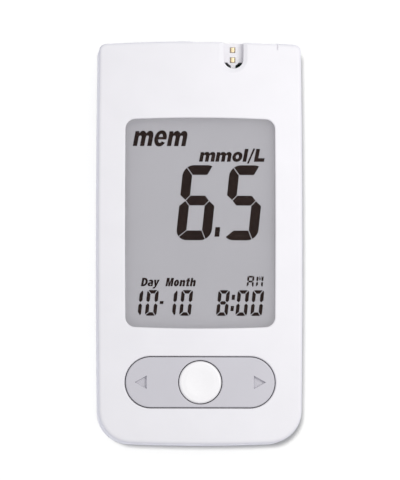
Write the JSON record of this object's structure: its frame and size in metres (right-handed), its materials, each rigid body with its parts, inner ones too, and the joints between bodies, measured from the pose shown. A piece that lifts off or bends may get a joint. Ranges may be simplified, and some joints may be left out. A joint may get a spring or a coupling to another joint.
{
  "type": "blood glucose meter",
  "caption": "Hand-held blood glucose meter: slim white case, large grey display, grey arrow rocker round a white button, strip port at the top edge and a sliding battery door behind.",
  "frame": {"origin": "middle of the resting face, under the middle of the case's width and length", "axes": "+Z through the thickness towards the display, +Y along the case towards the strip port, +X to the right of someone reading the display"},
  "size_m": [0.049, 0.0964, 0.0182],
  "materials": {
    "housing_white": "fine satin moulded",
    "button_white": "polished moulded",
    "port_white": "moulded",
    "key_grey": "fine satin moulded",
    "clear_lens": "clear, polished",
    "display_grey": "satin film",
    "display_glass": "polished",
    "foam_grey": "closed-cell foam",
    "inner_plastic": "moulded",
    "connector_plastic": "moulded",
    "connector_rubber": "layered silicone",
    "board_green": "solder mask",
    "chip_black": "moulded epoxy",
    "ceramic_tan": "fired ceramic",
    "ceramic_dark": "fired ceramic",
    "gold": "gold plated",
    "spring_steel": "rolled",
    "contact_nickel": "nickel plated",
    "cell_steel": "drawn and polished",
    "screw_steel": "zinc plated"
  },
  "bodies": {
    "housing": {"front_cover": "housing_white", "rear_cover": "housing_white", "display_window": "clear_lens", "window_gasket": "foam_grey", "lcd_front_polariser": "display_grey", "lcd_front_glass": "display_glass", "lcd_rear_glass": "display_glass", "lcd_reflector": "display_grey", "lcd_holder": "inner_plastic", "connector_strip": "connector_rubber", "main_board": "board_green", "key_frame": "inner_plastic", "snap_dome_left": "spring_steel", "snap_dome_middle": "spring_steel", "snap_dome_right": "spring_steel", "strip_guide": "port_white", "port_contact_outer": "gold", "port_contact_inner": "gold", "strip_connector": "connector_plastic", "strip_contact_springs": "gold", "coin_cell_left": "cell_steel", "coin_cell_right": "cell_steel", "negative_contact_left": "contact_nickel", "negative_contact_right": "contact_nickel", "positive_contact_left": "contact_nickel", "positive_contact_right": "contact_nickel", "microcontroller": "chip_black", "measuring_chip": "chip_black", "memory_chip": "chip_black", "clock_crystal": "spring_steel", "piezo_buzzer": "chip_black", "capacitors": "ceramic_tan", "resistors": "ceramic_dark", "case_screws": "screw_steel", "board_screws": "screw_steel"},
    "main_button": {"main_button": "button_white"},
    "arrow_rocker": {"arrow_rocker": "key_grey"},
    "battery_door": {"battery_door": "housing_white"}
  },
  "joints": [
    {"name": "main_button_press", "type": "slide", "parent": "housing", "child": "main_button", "axis": [0, 0, -1], "range_m": [0, 0.0003], "stiffness_N_per_m": 2000, "springref_m": -0.0001, "deforming": ["snap_dome_middle"]},
    {"name": "arrow_rocker_tilt", "type": "hinge", "parent": "housing", "child": "arrow_rocker", "pos_m": [0, -0.0334, 0.01489], "axis": [0, 1, 0], "range_deg": [-1.5, 1.5], "stiffness_Nm_per_rad": 0.3, "deforming": ["snap_dome_left", "snap_dome_right"]},
    {"name": "battery_door_slide", "type": "slide", "parent": "housing", "child": "battery_door", "axis": [0, -1, 0], "range_m": [0, 0.034]}
  ]
}
